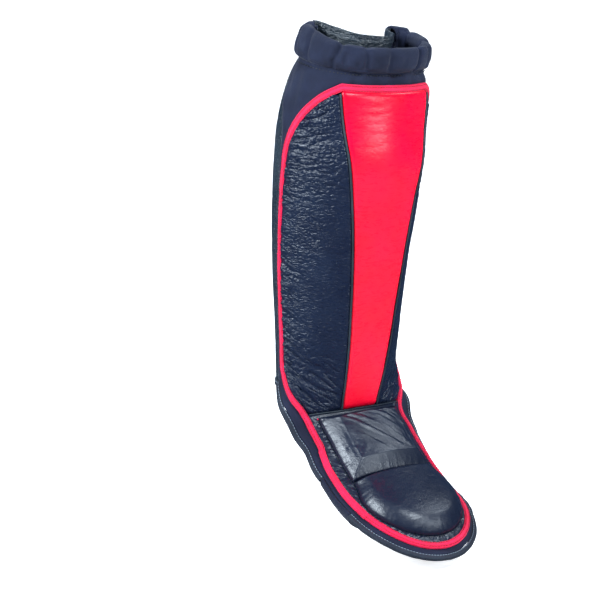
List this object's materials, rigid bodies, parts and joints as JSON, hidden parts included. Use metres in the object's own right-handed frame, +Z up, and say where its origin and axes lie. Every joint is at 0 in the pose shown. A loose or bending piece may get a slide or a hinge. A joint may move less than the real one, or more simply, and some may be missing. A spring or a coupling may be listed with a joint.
{
  "type": "shin pad",
  "caption": "Slip-on shin and instep pad: a padded leather shield on a stretch sleeve with a rolled cuff, bound edges and a strap under the foot.",
  "frame": {"origin": "on the leg's axis at the height of the ankle seam", "axes": "+Z up the leg, -Y towards the shin and the toes, +X to the wearer's left"},
  "size_m": [0.1636, 0.249, 0.4845],
  "materials": {
    "neoprene": "matt, fine knit",
    "black_leather": "soft gloss with fine wrinkles",
    "dark_piping": "soft gloss",
    "red_leather": "soft gloss with fine grain",
    "red_tape": "matt tape with stitching",
    "edge_tape": "matt tape with stitching"
  },
  "bodies": {
    "root": {"neoprene_shell": "neoprene", "back_panel": "black_leather", "cuff_roll": "neoprene", "centre_panel": "red_leather", "side_panel_left": "black_leather", "side_panel_right": "black_leather", "piping_left": "dark_piping", "piping_right": "dark_piping", "instep_panel": "black_leather", "instep_block": "black_leather", "toe_pad": "black_leather", "red_binding": "red_tape", "heel_binding": "edge_tape", "toe_binding": "edge_tape", "foot_strap": "neoprene"}
  },
  "joints": []
}
